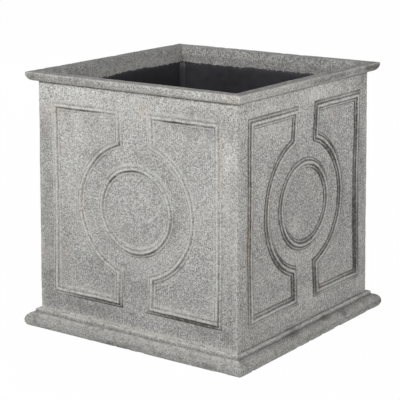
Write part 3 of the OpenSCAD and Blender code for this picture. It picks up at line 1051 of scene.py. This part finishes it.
# The strength of the world's even light, and the lamps: name, place, size and power
WORLD_LIGHT = 0.26
LAMPS = (
    ("key_lamp", (0.0, -3.0, 1.5), 1.5, 68),
    ("side_lamp", (3.1, 0.3, 0.9), 1.3, 46),
    ("back_lamp", (-2.4, 2.6, 1.8), 1.6, 38),
)
LAMP_AIM = Vector((0, 0, 0.24))

# The camera, fitted to the planter's corners and edges in the photograph
CAMERA_AZIMUTH = math.radians(35.724)
CAMERA_ELEVATION = math.radians(13.82)
CAMERA_ROLL = math.radians(-0.156)
CAMERA_DISTANCE = 2.737
CAMERA_AIM = Vector((0, 0, 0.249))
CAMERA_RIGHT = -0.01203
CAMERA_UP = -0.01629
FOCAL_PIXELS = 1420.0
PICTURE_WIDTH = 400
SENSOR = 36.0


def new_tree(owner):
    """The emptied node tree of a material or world."""
    owner.use_nodes = True
    owner.node_tree.nodes.clear()
    return owner.node_tree


def seen_directly(tree):
    """1 for what the camera sees straight, in a gloss or through something, and 0 for light that bounces."""
    path = tree.nodes.new("ShaderNodeLightPath")
    total = path.outputs["Is Camera Ray"]
    for ray in ("Is Glossy Ray", "Is Transmission Ray"):
        total = reckon(tree, "MAXIMUM", total, path.outputs[ray])
    return total


def mix_shaders(tree, share, first, second, output):
    """Sends two shaders to an output, the second one in this share."""
    mix = tree.nodes.new("ShaderNodeMixShader")
    for socket, source in zip(mix.inputs, (share, first.outputs[0], second.outputs[0])):
        tree.links.new(source, socket)
    tree.links.new(mix.outputs[0], tree.nodes.new(output).inputs["Surface"])


def make_floor():
    """A plain pale floor, seen as white with a faint shadow, and as dark inside the planter."""
    material = bpy.data.materials.new("pale_floor")
    tree = new_tree(material)
    paint = tree.nodes.new("ShaderNodeBsdfDiffuse")
    put(tree, paint.inputs["Color"], FLOOR_COLOUR)
    glow = tree.nodes.new("ShaderNodeEmission")
    axes = tree.nodes.new("ShaderNodeSeparateXYZ")
    put(tree, axes.inputs[0], tree.nodes.new("ShaderNodeTexCoord").outputs["Object"])
    across, deep = (reckon(tree, "ABSOLUTE", axes.outputs[axis], 0.0) for axis in "XY")
    open_floor = reckon(tree, "GREATER_THAN", reckon(tree, "MAXIMUM", across, deep), INNER)
    white = reckon(tree, "MULTIPLY", seen_directly(tree), FLOOR_WHITE)
    mix_shaders(tree, reckon(tree, "MULTIPLY", white, open_floor), paint, glow, "ShaderNodeOutputMaterial")
    corners = [(x * FLOOR_REACH, y * FLOOR_REACH, 0) for x, y in ((-1, -1), (1, -1), (1, 1), (-1, 1))]
    mesh = bpy.data.meshes.new("pale_floor")
    mesh.from_pydata(corners, [], [(0, 1, 2, 3)])
    mesh.materials.append(material)
    floor = new_object("pale_floor", mesh)
    floor.location.z = -FLOOR_DROP


def make_world():
    """An even pale surround that shows white behind the object."""
    world = bpy.data.worlds.new("studio")
    tree = new_tree(world)
    fills = []
    for strength in (WORLD_LIGHT, 1.0):
        fill = tree.nodes.new("ShaderNodeBackground")
        put(tree, fill.inputs["Color"], (1.0, 1.0, 1.0))
        put(tree, fill.inputs["Strength"], strength)
        fills.append(fill)
    mix_shaders(tree, seen_directly(tree), *fills, "ShaderNodeOutputWorld")
    bpy.context.scene.world = world


def area_light(name, place, size, power):
    """A soft square lamp that faces the planter."""
    lamp = bpy.data.lights.new(name, "AREA")
    lamp.shape, lamp.size, lamp.energy = "SQUARE", size, power
    made = new_object(name, lamp)
    made.location = place
    made.rotation_euler = (LAMP_AIM - Vector(place)).to_track_quat("-Z", "Y").to_euler()


def make_camera():
    """The photograph's camera, with its aim moved left and down a little and the picture rolled."""
    azimuth, elevation = CAMERA_AZIMUTH, CAMERA_ELEVATION
    level = Vector((math.sin(azimuth), -math.cos(azimuth), 0))
    back = level * math.cos(elevation) + Vector((0, 0, math.sin(elevation)))
    right = Vector((math.cos(azimuth), math.sin(azimuth), 0))
    up = back.cross(right)
    place = CAMERA_AIM + right * CAMERA_RIGHT + up * CAMERA_UP + back * CAMERA_DISTANCE
    rolled_right = right * math.cos(CAMERA_ROLL) + up * math.sin(CAMERA_ROLL)
    rolled_up = -right * math.sin(CAMERA_ROLL) + up * math.cos(CAMERA_ROLL)
    data = bpy.data.cameras.new("camera")
    data.sensor_width = SENSOR
    data.lens = FOCAL_PIXELS * SENSOR / PICTURE_WIDTH
    data.clip_start, data.clip_end = 0.1, 60
    camera = new_object("camera", data)
    axes = Matrix((rolled_right, rolled_up, back)).transposed().to_4x4()
    camera.matrix_world = Matrix.Translation(place) @ axes
    bpy.context.scene.camera = camera


make_camera()
for number in range(4):
    make_wall(number)
    make_rim(number)
    make_plinth(number)
    make_coat(number)
    make_strip(number)
make_bung()
for side_name in SIDES:
    dress(side_name + "_ledge", RAW)
dress("floor_slab", RAW)
dress("floor_coat", BLACK)
dress("drain_sleeve", PLASTIC)
make_floor()
make_world()
for lamp_row in LAMPS:
    area_light(*lamp_row)
bpy.context.scene.view_settings.view_transform = "Standard"
